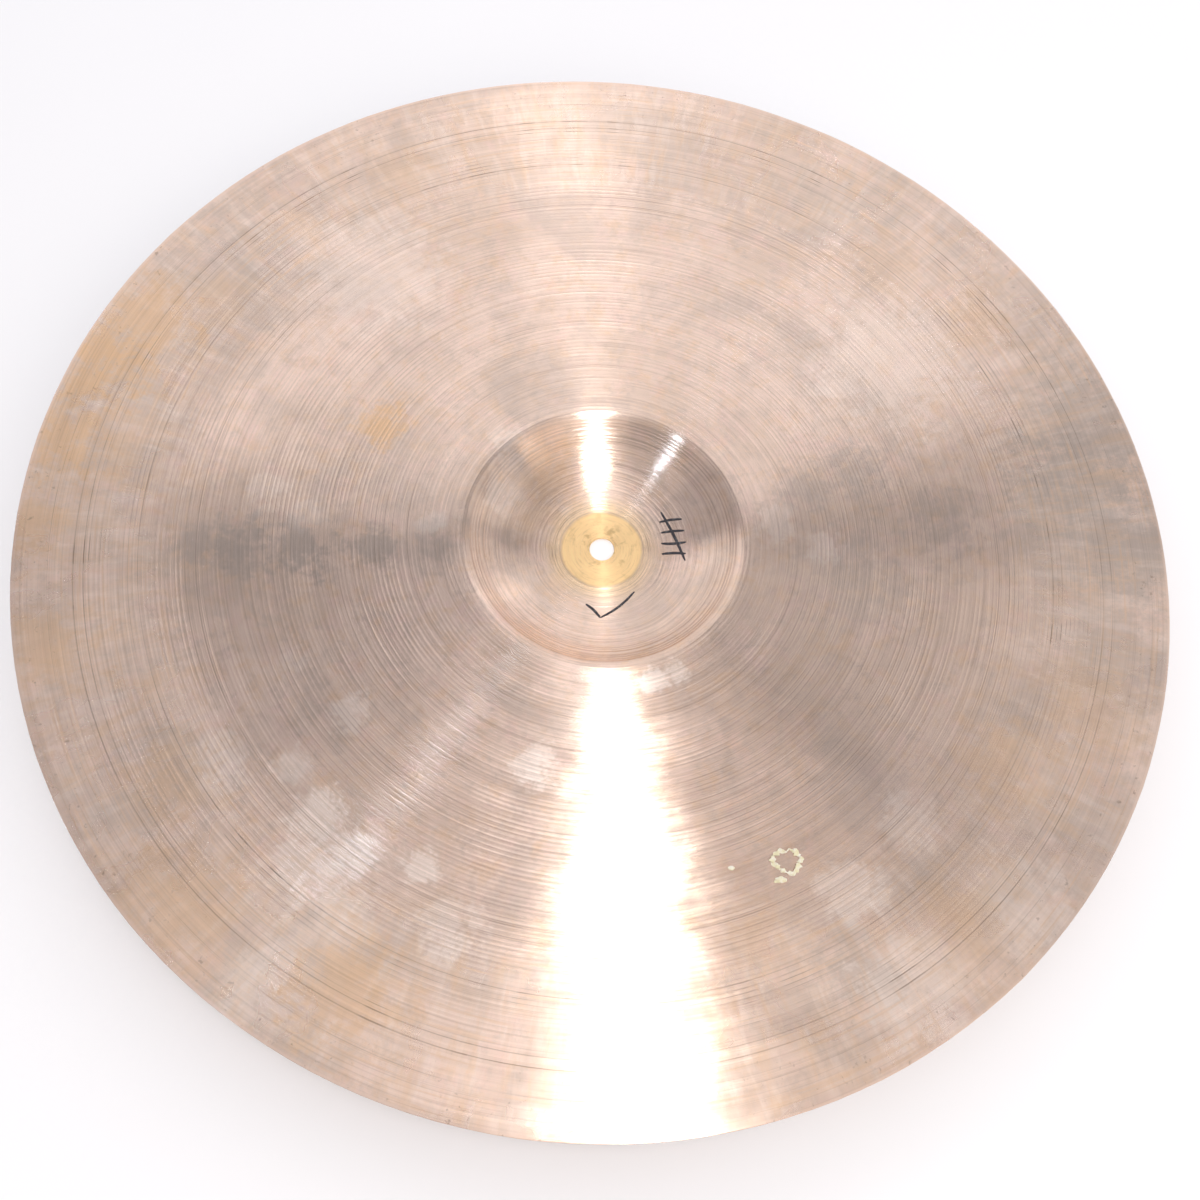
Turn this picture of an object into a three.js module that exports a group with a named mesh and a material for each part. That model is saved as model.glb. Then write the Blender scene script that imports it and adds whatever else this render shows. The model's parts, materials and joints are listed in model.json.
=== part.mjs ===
// A 22-inch crash cymbal: one dished sheet of bronze with a raised bell and a hole for the stand.
// Millimetres, +Z up. The cymbal lies on its bell with the hollow side up. The origin is on its
// axis, in the plane of the flat face that it lies on.
import * as THREE from "three";

// Driving dimensions
const DIAMETER = 558.8; // 22 in
const HOLE_DIAMETER = 12.7; // half an inch, for the stand's rod
const SEAT_DIAMETER = 41; // flat disc round the hole, where a stand's felts bear
const BELL_DIAMETER = 146;
const BELL_DEPTH = 19.3; // from the flat disc to the bell's edge
const BELL_BEND_RADIUS = 9; // of the bend that joins the bell to the bow
const BOW_DEPTH = 18; // from the bell's edge to the rim
const BOW_START_SLOPE = THREE.MathUtils.degToRad(3.5); // of the bow at the bell's edge
const BELL_THICKNESS = 1.4;
const RIM_THICKNESS = 0.8;

// Facets
const TURN_SEGMENTS = 80;
const DOME_STEPS = 7;
const BEND_STEPS = 4;
const BOW_STEPS = 6;
const RIM_STEPS = 3;

const HOLE_RADIUS = HOLE_DIAMETER / 2;
const SEAT_RADIUS = SEAT_DIAMETER / 2;
const BELL_RADIUS = BELL_DIAMETER / 2;
const RIM_NOSE_RADIUS = RIM_THICKNESS / 2;
const RIM_RADIUS = DIAMETER / 2 - RIM_NOSE_RADIUS; // centre of the rounded edge

const BRONZE = new THREE.MeshStandardMaterial({
  color: 0xa98e74,
  roughness: 0.38,
  metalness: 1,
});

// A station is one point of the sheet's middle surface, with the slope of the sheet there.
// Adds an arc of stations that starts at the last one and bends the sheet to the slope given.
function addArc(stations, radius, slope, steps) {
  const start = stations.at(-1);
  const signedRadius = slope > start.slope ? radius : -radius;
  for (let i = 1; i <= steps; i++) {
    const here = THREE.MathUtils.lerp(start.slope, slope, i / steps);
    stations.push({
      r: start.r + signedRadius * (Math.sin(here) - Math.sin(start.slope)),
      z: start.z + signedRadius * (Math.cos(start.slope) - Math.cos(here)),
      slope: here,
    });
  }
}

// The bell is a dome that leaves the flat disc level, then a bend back to the bow's slope. Both
// arcs are tangent, so together they span the bell's width and depth with one steepest slope.
function addBell(stations) {
  const width = BELL_RADIUS - SEAT_RADIUS + BELL_BEND_RADIUS * Math.sin(BOW_START_SLOPE);
  const depth = BELL_DEPTH + BELL_BEND_RADIUS * (1 - Math.cos(BOW_START_SLOPE));
  const steepest = 2 * Math.atan2(depth, width);
  const domeRadius = width / Math.sin(steepest) - BELL_BEND_RADIUS;
  addArc(stations, domeRadius, steepest, DOME_STEPS);
  addArc(stations, BELL_BEND_RADIUS, BOW_START_SLOPE, BEND_STEPS);
}

// The bow is one shallow arc that grows a little steeper out to the rim.
function addBow(stations) {
  const width = RIM_RADIUS - BELL_RADIUS;
  const rimSlope = 2 * Math.atan2(BOW_DEPTH, width) - BOW_START_SLOPE;
  const bowRadius = width / (Math.sin(rimSlope) - Math.sin(BOW_START_SLOPE));
  addArc(stations, bowRadius, rimSlope, BOW_STEPS);
}

function middleSurface() {
  const seatHeight = BELL_THICKNESS / 2;
  const stations = [
    { r: HOLE_RADIUS, z: seatHeight, slope: 0 },
    { r: SEAT_RADIUS, z: seatHeight, slope: 0 },
  ];
  addBell(stations);
  addBow(stations);
  return stations;
}

// The sheet is even over the bell and thins steadily across the bow.
function thicknessAt(r) {
  const across = (r - BELL_RADIUS) / (RIM_RADIUS - BELL_RADIUS);
  return THREE.MathUtils.lerp(BELL_THICKNESS, RIM_THICKNESS, Math.max(0, across));
}

// The point of the sheet that is the given share of its thickness above the middle surface.
function faceOf(station, share) {
  const offset = share * thicknessAt(station.r);
  return new THREE.Vector2(
    station.r - offset * Math.sin(station.slope),
    station.z + offset * Math.cos(station.slope),
  );
}

// The edge is rounded from the outer face over to the hollow one.
function rimNose(rim) {
  const points = [];
  for (let i = 1; i < RIM_STEPS; i++) {
    const turn = rim.slope - Math.PI / 2 + (Math.PI * i) / RIM_STEPS;
    points.push(
      new THREE.Vector2(
        rim.r + RIM_NOSE_RADIUS * Math.cos(turn),
        rim.z + RIM_NOSE_RADIUS * Math.sin(turn),
      ),
    );
  }
  return points;
}

// The sheet's whole cross-section, from the hole out along the outer face, round the rim and
// back along the hollow face to where it started.
function crossSection() {
  const stations = middleSurface();
  const outerFace = stations.map((station) => faceOf(station, -0.5));
  const hollowFace = stations.map((station) => faceOf(station, 0.5)).reverse();
  return [...outerFace, ...rimNose(stations.at(-1)), ...hollowFace, outerFace[0]];
}

function cymbal() {
  const geometry = new THREE.LatheGeometry(crossSection(), TURN_SEGMENTS);
  geometry.rotateX(Math.PI / 2); // the lathe turns about Y, and the cymbal's axis is Z
  const mesh = new THREE.Mesh(geometry, BRONZE);
  mesh.name = "cymbal";
  return mesh;
}

const crashCymbal = new THREE.Group();
crashCymbal.name = "crash_cymbal";
crashCymbal.add(cymbal());

export default crashCymbal;
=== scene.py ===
"""A 22-inch crash cymbal of old bronze, turned and hammered from one sheet, lying on its bell.

The hollow side faces up. Lengths are in metres and angles in radians. The cymbal's axis is Z, and
the origin is on it, in the plane that the bell rests on. A bearing is an angle about that axis,
anticlockwise seen from above, with 0 along +X.
"""

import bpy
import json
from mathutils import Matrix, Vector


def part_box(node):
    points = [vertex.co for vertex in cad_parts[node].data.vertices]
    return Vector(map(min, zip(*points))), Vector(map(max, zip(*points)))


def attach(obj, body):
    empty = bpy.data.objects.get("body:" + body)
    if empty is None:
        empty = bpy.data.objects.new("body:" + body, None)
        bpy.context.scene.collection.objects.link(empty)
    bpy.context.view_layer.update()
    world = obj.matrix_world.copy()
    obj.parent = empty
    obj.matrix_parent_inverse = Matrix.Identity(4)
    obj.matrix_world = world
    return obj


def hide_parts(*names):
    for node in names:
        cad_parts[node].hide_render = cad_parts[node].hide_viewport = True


bl_info = {
    "name": "Crash Cymbal",
    "version": (1, 0, 0),
    "blender": (4, 5, 0),
    "location": "3D View > Sidebar > Cymbal",
    "description": "Turns, hammers and finishes a bronze crash cymbal and sets it in a studio",
    "category": "Add Mesh",
}

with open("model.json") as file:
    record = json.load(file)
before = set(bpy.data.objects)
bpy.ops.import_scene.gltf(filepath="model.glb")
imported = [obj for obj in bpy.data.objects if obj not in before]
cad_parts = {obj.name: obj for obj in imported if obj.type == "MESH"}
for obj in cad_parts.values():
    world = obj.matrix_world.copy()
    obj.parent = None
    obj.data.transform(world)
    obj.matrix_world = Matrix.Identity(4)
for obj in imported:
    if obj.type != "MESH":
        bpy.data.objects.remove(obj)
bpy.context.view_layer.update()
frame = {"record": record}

import json
import math
import random
from dataclasses import dataclass

import bmesh
import bpy
import numpy as np
from mathutils import Matrix, Vector, noise

MM = 0.001
CAD_NODE = "cymbal"
ROW_BODY = "root"

SHEET_LOW, SHEET_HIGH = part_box(CAD_NODE)
MOUNTS = {mount["name"]: mount for mount in frame["record"]["mounts"]}
SEAT_HEIGHT = MOUNTS["bell_inner_seat"]["pos_m"][2]


# ---- What a user would change ----


def length_property(name, description, default, precision=2):
    return bpy.props.FloatProperty(
        name=name,
        description=description,
        default=default,
        unit="LENGTH",
        subtype="DISTANCE",
        precision=precision,
    )


def angle_property(name, description, default):
    return bpy.props.FloatProperty(
        name=name,
        description=description,
        default=default,
        unit="ROTATION",
        subtype="ANGLE",
    )


def place_property(name, description, default):
    return bpy.props.FloatVectorProperty(
        name=name,
        description=description,
        default=default,
        subtype="TRANSLATION",
        unit="LENGTH",
    )


def colour_property(name, description, default):
    return bpy.props.FloatVectorProperty(
        name=name,
        description=description,
        default=default,
        subtype="COLOR",
        min=0,
        max=1,
    )


class CymbalShape(bpy.types.PropertyGroup):
    """The sheet's own sizes."""

    diameter: length_property("Diameter", "Across the rim", SHEET_HIGH[0] - SHEET_LOW[0])
    hole_diameter: length_property("Hole diameter", "Hole for the stand's rod", 12.7 * MM)
    seat_diameter: length_property(
        "Seat diameter", "Flat disc round the hole, which the lathe leaves alone", 41 * MM
    )
    bell_diameter: length_property(
        "Bell diameter", "Across the bell where it meets the bow", 146 * MM
    )
    bell_depth: length_property("Bell depth", "From the flat disc to the bell's edge", 19.3 * MM)
    bell_bend_radius: length_property(
        "Bell bend radius", "Of the bend that joins the bell to the bow", 9 * MM
    )
    bow_depth: length_property("Bow depth", "From the bell's edge to the rim", 18 * MM)
    bow_start_slope: angle_property(
        "Bow start slope", "Of the bow at the bell's edge", math.radians(3.5)
    )
    bell_thickness: length_property(
        "Bell thickness", "Of the sheet over the bell", SEAT_HEIGHT, precision=5
    )
    rim_thickness: length_property(
        "Rim thickness", "Of the sheet at the rim", 0.8 * MM, precision=5
    )
    turn_steps: bpy.props.IntProperty(
        name="Steps round",
        description="Facets round the cymbal",
        default=160,
        min=24,
    )


class CymbalLathing(bpy.types.PropertyGroup):
    """The cuts that the lathe leaves."""

    groove_pitch: length_property(
        "Groove pitch", "Mean distance from one groove to the next", 2.1 * MM, precision=5
    )
    groove_depth: length_property("Groove depth", "Of the usual groove", 0.022 * MM, precision=6)
    deep_groove_depth: length_property(
        "Deep groove depth", "Of the few grooves where the tool dug in", 0.09 * MM, precision=6
    )
    seed: bpy.props.IntProperty(
        name="Lathe seed",
        description="Sets how the pitch and depth wander",
        default=11,
    )


class CymbalHammering(bpy.types.PropertyGroup):
    """The marks that the hammer leaves."""

    dent_depth: length_property("Dent depth", "Of the usual hammer mark", 0.09 * MM, precision=6)
    dent_width: length_property("Dent width", "Of the usual hammer mark", 22 * MM)
    dent_spacing: length_property(
        "Dent spacing", "Between hammer marks, round a ring and from ring to ring", 38 * MM
    )
    unevenness: length_property(
        "Unevenness", "How far the sheet strays from a true dish", 0.3 * MM, precision=6
    )
    seed: bpy.props.IntProperty(
        name="Hammer seed",
        description="Sets where the hammer falls",
        default=5,
    )


class CymbalFinish(bpy.types.PropertyGroup):
    """The colours of the bronze and of what has settled on it, and of the painted shade and
    highlight on the bow.
    """

    bronze: colour_property("Bronze", "Clean turned metal", (0.80, 0.61, 0.52))
    tarnish: colour_property("Tarnish", "Brown film over the bow", (0.62, 0.47, 0.38))
    blush: colour_property("Blush", "Pinkish film over the bow", (0.80, 0.55, 0.50))
    # Also the colour of the painted shade where the bow's dim and bright halves meet.
    smoke_and_shade: colour_property("Smoke", "Grey film over the bow", (0.52, 0.425, 0.375))
    # Also the colour of the painted highlight beside that painted shade.
    bloom_and_highlight: colour_property("Bloom", "Pale cloudy stains", (1.0, 0.86, 0.79))
    gold: colour_property("Gold", "Golden patina near the rim", (0.74, 0.49, 0.31))
    seat_gold: colour_property("Seat gold", "Unturned disc round the hole", (1.0, 0.71, 0.38))
    seat_spots: colour_property("Seat spots", "Spots on that disc", (0.66, 0.45, 0.22))
    groove_dirt: colour_property("Groove dirt", "What lies in the grooves", (0.22, 0.15, 0.11))
    ink: colour_property("Ink", "Marker strokes in the bell", (0.018, 0.014, 0.020))
    glue: colour_property("Glue", "Dry residue on the bow", (0.72, 0.66, 0.44))


class CymbalStudio(bpy.types.PropertyGroup):
    """The floor, the lights and the camera."""

    floor_colour: colour_property("Floor", "The pale floor", (0.93, 0.93, 0.97))
    lens: bpy.props.FloatProperty(
        name="Lens",
        description="Focal length in millimetres, on a sensor 36 mm wide",
        default=36,
    )
    camera_place: place_property(
        "Camera place", "From the middle of the rim", (-0.0459, -0.2583, 0.5260)
    )
    camera_aim: place_property(
        "Camera aim", "Where the camera looks, from the middle of the rim", (-0.0046, -0.0435, 0)
    )
    camera_roll: angle_property(
        "Camera roll", "Of the camera about its line of sight", math.radians(10.07)
    )


# ---- The sheet's middle surface ----


@dataclass
class Station:
    """A point of the middle surface's outline, with the slope of the sheet there."""

    r: float
    z: float
    slope: float

    def moved(self, offset):
        """Radius and height of the point that stands off along the sheet's normal."""
        return (
            self.r - offset * math.sin(self.slope),
            self.z + offset * math.cos(self.slope),
        )


@dataclass
class Arc:
    """A stretch of the outline that bends evenly from its start to its end slope."""

    start: Station
    radius: float
    end_slope: float

    def signed_radius(self):
        return math.copysign(self.radius, self.end_slope - self.start.slope)

    def at_slope(self, slope):
        radius = self.signed_radius()
        start = self.start
        return Station(
            start.r + radius * (math.sin(slope) - math.sin(start.slope)),
            start.z + radius * (math.cos(start.slope) - math.cos(slope)),
            slope,
        )

    def at_radius(self, r):
        across = (r - self.start.r) / self.signed_radius()
        sine = min(1, max(-1, math.sin(self.start.slope) + across))
        return self.at_slope(math.asin(sine))

    def end(self):
        return self.at_slope(self.end_slope)


class Dish:
    """The middle surface: a flat seat, a domed bell, a bend and a long shallow bow."""

    def __init__(self, shape):
        self.hole = shape.hole_diameter / 2
        self.seat = shape.seat_diameter / 2
        self.bell = shape.bell_diameter / 2
        self.nose = shape.rim_thickness / 2
        self.rim = shape.diameter / 2 - self.nose
        self.bell_thickness = shape.bell_thickness
        self.rim_thickness = shape.rim_thickness
        self.seat_height = shape.bell_thickness / 2

        bow_slope = shape.bow_start_slope
        bend = shape.bell_bend_radius
        width = self.bell - self.seat + bend * math.sin(bow_slope)
        depth = shape.bell_depth + bend * (1 - math.cos(bow_slope))
        steepest = 2 * math.atan2(depth, width)
        seat_edge = Station(self.seat, self.seat_height, 0)
        dome = Arc(seat_edge, width / math.sin(steepest) - bend, steepest)
        shoulder = Arc(dome.end(), bend, bow_slope)

        width = self.rim - self.bell
        rim_slope = 2 * math.atan2(shape.bow_depth, width) - bow_slope
        bow_radius = width / (math.sin(rim_slope) - math.sin(bow_slope))
        bow = Arc(shoulder.end(), bow_radius, rim_slope)
        self.arcs = (dome, shoulder, bow)

    def station(self, r):
        if r <= self.seat:
            return Station(r, self.seat_height, 0)
        for arc in self.arcs[:-1]:
            if r < arc.end().r:
                return arc.at_radius(r)
        return self.arcs[-1].at_radius(min(r, self.rim))

    def thickness(self, r):
        across = max(0, (r - self.bell) / (self.rim - self.bell))
        return self.bell_thickness + across * (self.rim_thickness - self.bell_thickness)

    def hollow_face(self, r, cut=0):
        """Radius and height on the hollow face, cut into it by the depth given."""
        return self.station(r).moved(self.thickness(r) / 2 - cut)

    def outer_face(self, r, cut=0):
        return self.station(r).moved(cut - self.thickness(r) / 2)


# ---- Lathe cuts ----


@dataclass
class Cut:
    """One ring of the turned surface: how far out it lies, how deep the tool went, and how the
    metal leans there, below 0 towards the axis and above 0 away from it."""

    r: float
    depth: float = 0
    bite: float = 0


# Grooves where the tool dug in: share of the rim's radius, share of the deepest cut.
DEEP_GROOVES = (
    (0.078, 0.30), (0.087, 0.40), (0.098, 0.25), (0.146, 0.25), (0.171, 0.32), (0.208, 0.28),
    (0.232, 0.35), (0.352, 0.35), (0.496, 0.30), (0.699, 0.30), (0.709, 0.55), (0.727, 0.40),
    (0.803, 0.60), (0.819, 0.30), (0.881, 0.30), (0.889, 0.60), (0.905, 0.80), (0.945, 0.30),
)
DEEP_GROOVE_WIDTH = 0.68 * MM
DEEP_GROOVE_CLEARANCE = 0.544 * MM  # usual cuts nearer than this to its middle give way
GROOVE_WIDTH = 0.38  # share of the bow's pitch
SMOOTH_BAND_START = 0.91  # share of the rim's radius beyond which the tool barely bit
SMOOTH_BAND_DEPTH = 0.35
BELL_GROOVE_INSET = 0.5 * MM  # from the start of a pitch to the groove
BELL_GROOVE_WIDTH = 0.8 * MM
BELL_GROOVE_MARGIN = 0.2 * BELL_GROOVE_WIDTH
BROKEN_EDGE = 0.25 * MM  # of the hole

# Least and greatest values
PASS_FIRMNESS = (0.45, 1.15)  # how hard the tool was held over one pass
PASS_PITCHES = (5, 16)  # grooves in one pass
BITES = (0.65, 1.25)  # of one groove, as shares of its pass
PITCHES = (0.92, 1.08)  # as shares of the usual pitch, and so below
BELL_PITCHES = (0.55, 1.35)
OUTER_PITCHES = (2.2, 2.8)
OUTER_BITES = (0.8, 1.5)

# Where the last groove may start, in pitches from the rim
HOLLOW_RUN_OUT = 1.5
OUTER_RUN_OUT = 2.4


def seat_cuts(dish):
    """Level rings across the flat seat, which the tool left alone."""
    return [Cut(dish.hole + BROKEN_EDGE), Cut(0.5 * (dish.hole + dish.seat))]


def groove(cuts, start, width, depth, bite):
    """One V-shaped groove, from the radius given."""
    cuts.append(Cut(start, 0, -bite))
    cuts.append(Cut(start + 0.5 * width, depth))
    cuts.append(Cut(start + width, 0, bite))


def bell_groove(cuts, start, depth, bite):
    """A groove in the bell, with level metal on both sides of it."""
    cuts.append(Cut(start - BELL_GROOVE_MARGIN))
    groove(cuts, start, BELL_GROOVE_WIDTH, depth, bite)
    cuts.append(Cut(start + BELL_GROOVE_WIDTH + BELL_GROOVE_MARGIN))


def dig_deep_grooves(cuts, rim, deepest):
    """Puts the deep grooves in, in place of the usual cuts round them."""
    for share, strength in DEEP_GROOVES:
        middle = share * rim
        cuts[:] = [cut for cut in cuts if abs(cut.r - middle) > DEEP_GROOVE_CLEARANCE]
        start = middle - 0.5 * DEEP_GROOVE_WIDTH
        groove(cuts, start, DEEP_GROOVE_WIDTH, strength * deepest, strength)
    cuts.sort(key=lambda cut: cut.r)


def hollow_cuts(dish, lathing):
    """The hollow face's rings from the seat to the rim."""
    wander = random.Random(lathing.seed)
    cuts = seat_cuts(dish)
    r = dish.seat
    pass_end = r
    while r < dish.rim - HOLLOW_RUN_OUT * lathing.groove_pitch:
        if r >= pass_end:
            firmness = wander.uniform(*PASS_FIRMNESS)
            pass_end = r + wander.uniform(*PASS_PITCHES) * lathing.groove_pitch
        pitch = lathing.groove_pitch * wander.uniform(*PITCHES)
        bite = firmness * wander.uniform(*BITES)
        if r > SMOOTH_BAND_START * dish.rim:
            bite *= SMOOTH_BAND_DEPTH
        depth = bite * lathing.groove_depth
        if r < dish.bell:
            pitch = lathing.groove_pitch * wander.uniform(*BELL_PITCHES)
            bell_groove(cuts, r + BELL_GROOVE_INSET, depth, bite)
        else:
            groove(cuts, r, GROOVE_WIDTH * pitch, depth, bite)
        r += pitch
    dig_deep_grooves(cuts, dish.rim, lathing.deep_groove_depth)
    cuts.append(Cut(dish.rim))
    return cuts


def outer_cuts(dish, lathing):
    """The outer face's rings: the same tool, set coarser, from the seat to the rim."""
    wander = random.Random(lathing.seed + 1)
    cuts = seat_cuts(dish)
    r = dish.seat
    while r < dish.rim - OUTER_RUN_OUT * lathing.groove_pitch:
        pitch = lathing.groove_pitch * wander.uniform(*OUTER_PITCHES)
        bite = wander.uniform(*OUTER_BITES)
        groove(cuts, r, GROOVE_WIDTH * pitch, bite * lathing.groove_depth, bite)
        r += pitch
    cuts.append(Cut(dish.rim))
    return cuts


def rim_nose(dish, steps=6):
    """The rounded edge, from the outer face over to the hollow one."""
    rim = dish.station(dish.rim)
    points = []
    for i in range(1, steps):
        turn = rim.slope - math.pi / 2 + math.pi * i / steps
        points.append((rim.r + dish.nose * math.cos(turn), rim.z + dish.nose * math.sin(turn)))
    return points


def hole_wall(dish):
    """The hole's wall with both its edges broken, from the hollow face down to the outer one."""
    top = dish.bell_thickness
    return [(dish.hole, height) for height in (top - BROKEN_EDGE, top / 2, BROKEN_EDGE)]


# ---- Making meshes by hand ----


def select_none():
    bpy.ops.object.select_all(action="DESELECT")


def select_only(*pieces):
    """Selects the pieces given and nothing else. The first one becomes the active one."""
    select_none()
    for piece in pieces:
        piece.select_set(True)
    bpy.context.view_layer.objects.active = pieces[0]


def edit(piece):
    """Opens the piece alone in edit mode with everything selected."""
    select_only(piece)
    bpy.ops.object.mode_set(mode="EDIT")
    bpy.ops.mesh.select_all(action="SELECT")


def done():
    bpy.ops.object.mode_set(mode="OBJECT")


def rename(piece, name):
    piece.name = name
    piece.data.name = name


def new_outline(name, points):
    """A closed chain of edges in the XZ plane, drawn by extruding a vertex from point to point."""
    first = Vector((points[0][0], 0, points[0][1]))
    select_none()
    bpy.ops.mesh.primitive_plane_add(size=MM, location=first)
    bpy.ops.object.transform_apply(location=True, rotation=True, scale=True)
    piece = bpy.context.object
    rename(piece, name)
    edit(piece)
    bpy.ops.mesh.merge(type="CENTER")
    here = first
    for r, z in points[1:]:
        there = Vector((r, 0, z))
        bpy.ops.mesh.extrude_region_move(TRANSFORM_OT_translate={"value": there - here})
        here = there
    close_outline(piece)
    done()
    return piece


def close_outline(piece):
    """Joins the chain's two loose ends."""
    bpy.ops.mesh.select_all(action="DESELECT")
    chain = bmesh.from_edit_mesh(piece.data)
    for vertex in chain.verts:
        vertex.select = len(vertex.link_edges) == 1
    bmesh.update_edit_mesh(piece.data)
    bpy.ops.mesh.edge_face_add()


def spin_outline(piece, steps):
    """Turns the outline about the cymbal's axis into a closed solid with its faces outward."""
    edit(piece)
    bpy.ops.mesh.spin(steps=steps, angle=math.tau, center=(0, 0, 0), axis=(0, 0, 1))
    bpy.ops.mesh.select_all(action="SELECT")
    bpy.ops.mesh.remove_doubles(threshold=0.002 * MM)
    bpy.ops.mesh.normals_make_consistent(inside=False)
    done()


def shade(piece):
    """Shades the piece smooth, but for its sharp edges."""
    select_only(piece)
    bpy.ops.object.shade_smooth_by_angle(angle=math.radians(50))


def join_pieces(name, pieces, material):
    """Joins the pieces into the first one, in one material."""
    select_only(*pieces)
    bpy.ops.object.join()
    whole = pieces[0]
    rename(whole, name)
    shade(whole)
    whole.data.materials.clear()
    whole.data.materials.append(material)
    return whole


def vertex_places(mesh):
    places = np.empty(len(mesh.vertices) * 3)
    mesh.vertices.foreach_get("co", places)
    return places.reshape(-1, 3)


def radii_of(places):
    return np.hypot(places[:, 0], places[:, 1])


def set_vertex_places(mesh, places):
    mesh.vertices.foreach_set("co", places.ravel())
    mesh.update()


def store_attribute(mesh, name, values):
    attribute = mesh.attributes.new(name=name, type="FLOAT", domain="POINT")
    attribute.data.foreach_set("value", np.asarray(values, dtype=np.float32))


def join_body(piece):
    """The piece moves with the cymbal's one body."""
    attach(piece, ROW_BODY)


# ---- Hammering ----

DENT_RINGS = (0.31, 0.40, 0.49, 0.58, 0.67, 0.76, 0.835, 0.905)  # shares of the rim's radius
STRONG_RINGS = (0.76, 0.835)  # where the hammer marks were left deepest
STRONG_BLOW = 1.5  # their depth, against the others'
DENT_FALLOFF = 0.42  # share of a mark's width at which a third of its depth is left
DENT_REACH = 1.5  # share of its width beyond which nothing is left
DENT_WIDTHS = (0.75, 1.2)  # least and greatest, as shares of the usual mark's
DENT_DEPTHS = (0.3, 1.2)
DRIFT_ROUND = (-0.18, 0.18)  # how far a blow strays, as shares of the spacing
DRIFT_OUT = (-0.16, 0.16)
WAVE_LENGTH = 95 * MM  # of the sheet's unevenness
BELL_UNEVENNESS = 0.15  # how much of it the stiff bell takes up
RIM_WEAR_BAND = 2 * MM
RIM_CHIP = 0.16 * MM
RIM_NICK = 0.10 * MM
RIM_BEND = 0.12 * MM
HOLE_WEAR = 0.35 * MM
HOLE_WEAR_BEARING = math.radians(40)


def dents(dish, hammering):
    """Yields the place, width and depth of every hammer mark."""
    hand = random.Random(hammering.seed)
    for share in DENT_RINGS:
        r = share * dish.rim
        count = round(math.tau * r / hammering.dent_spacing)
        strength = STRONG_BLOW if share in STRONG_RINGS else 1
        for i in range(count):
            bearing = math.tau * (i + hand.uniform(*DRIFT_ROUND)) / count
            out = r + hand.uniform(*DRIFT_OUT) * hammering.dent_spacing
            width = hammering.dent_width * hand.uniform(*DENT_WIDTHS)
            depth = hammering.dent_depth * hand.uniform(*DENT_DEPTHS) * strength
            yield out * math.cos(bearing), out * math.sin(bearing), width, depth


def hammer(mesh, dish, hammering):
    """Sinks the hammer marks into both faces at once, and lets the whole sheet stray a little."""
    places = vertex_places(mesh)
    sunk = np.zeros(len(places))
    for x, y, width, depth in dents(dish, hammering):
        away = (places[:, 0] - x) ** 2 + (places[:, 1] - y) ** 2
        near = away < (DENT_REACH * width) ** 2
        sunk[near] += depth * np.exp(-away[near] / (DENT_FALLOFF * width) ** 2)
    places[:, 2] -= sunk
    radii = radii_of(places)
    freedom = np.clip((radii - dish.bell) / (dish.rim - dish.bell), 0, 1)
    stray = [noise.noise(Vector((x, y, 0)) / WAVE_LENGTH) for x, y, _ in places]
    places[:, 2] += np.array(stray) * hammering.unevenness * (BELL_UNEVENNESS + freedom)
    set_vertex_places(mesh, places)


def wear_rim(mesh, dish):
    """Small flats and dips that knocks have left along the rim."""
    places = vertex_places(mesh)
    radii = radii_of(places)
    reach = np.clip((radii - (dish.rim - RIM_WEAR_BAND)) / RIM_WEAR_BAND, 0, 1)
    for index in np.flatnonzero(reach):
        x, y, _ = places[index]
        bearing = Vector((x, y, 0)).normalized()
        chip = RIM_CHIP * noise.noise(bearing * 9) + RIM_NICK * noise.noise(bearing * 31)
        places[index] += np.array(bearing) * chip * reach[index]
        places[index][2] += RIM_BEND * noise.noise(bearing * 17) * reach[index]
    set_vertex_places(mesh, places)


def wear_hole(mesh, dish):
    """The rod has worn the hole a little longer towards one side."""
    places = vertex_places(mesh)
    radii = radii_of(places)
    bearings = np.arctan2(places[:, 1], places[:, 0])
    at_wall = radii < dish.hole + 2 * BROKEN_EDGE
    facing = np.clip(np.cos(bearings - HOLE_WEAR_BEARING), 0, 1) ** 3
    growth = np.where(at_wall, HOLE_WEAR * facing, 0)
    places[:, 0] += growth * np.cos(bearings)
    places[:, 1] += growth * np.sin(bearings)
    set_vertex_places(mesh, places)


def store_lathe_marks(mesh, dish, inner, outer, deepest):
    """Stores at each point how deep in a groove it lies, and how the groove leans the metal."""
    places = vertex_places(mesh)
    radii = radii_of(places)
    middles = np.array([dish.station(r).z for r in radii])
    on_hollow = places[:, 2] > middles

    def on_face(cuts, value):
        return np.interp(radii, [cut.r for cut in cuts], [value(cut) for cut in cuts])

    def along(value):
        return np.where(on_hollow, on_face(inner, value), on_face(outer, value))

    store_attribute(mesh, "groove", along(lambda cut: cut.depth / deepest))
    store_attribute(mesh, "bite", along(lambda cut: cut.bite))


# ---- Shader building ----


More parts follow.
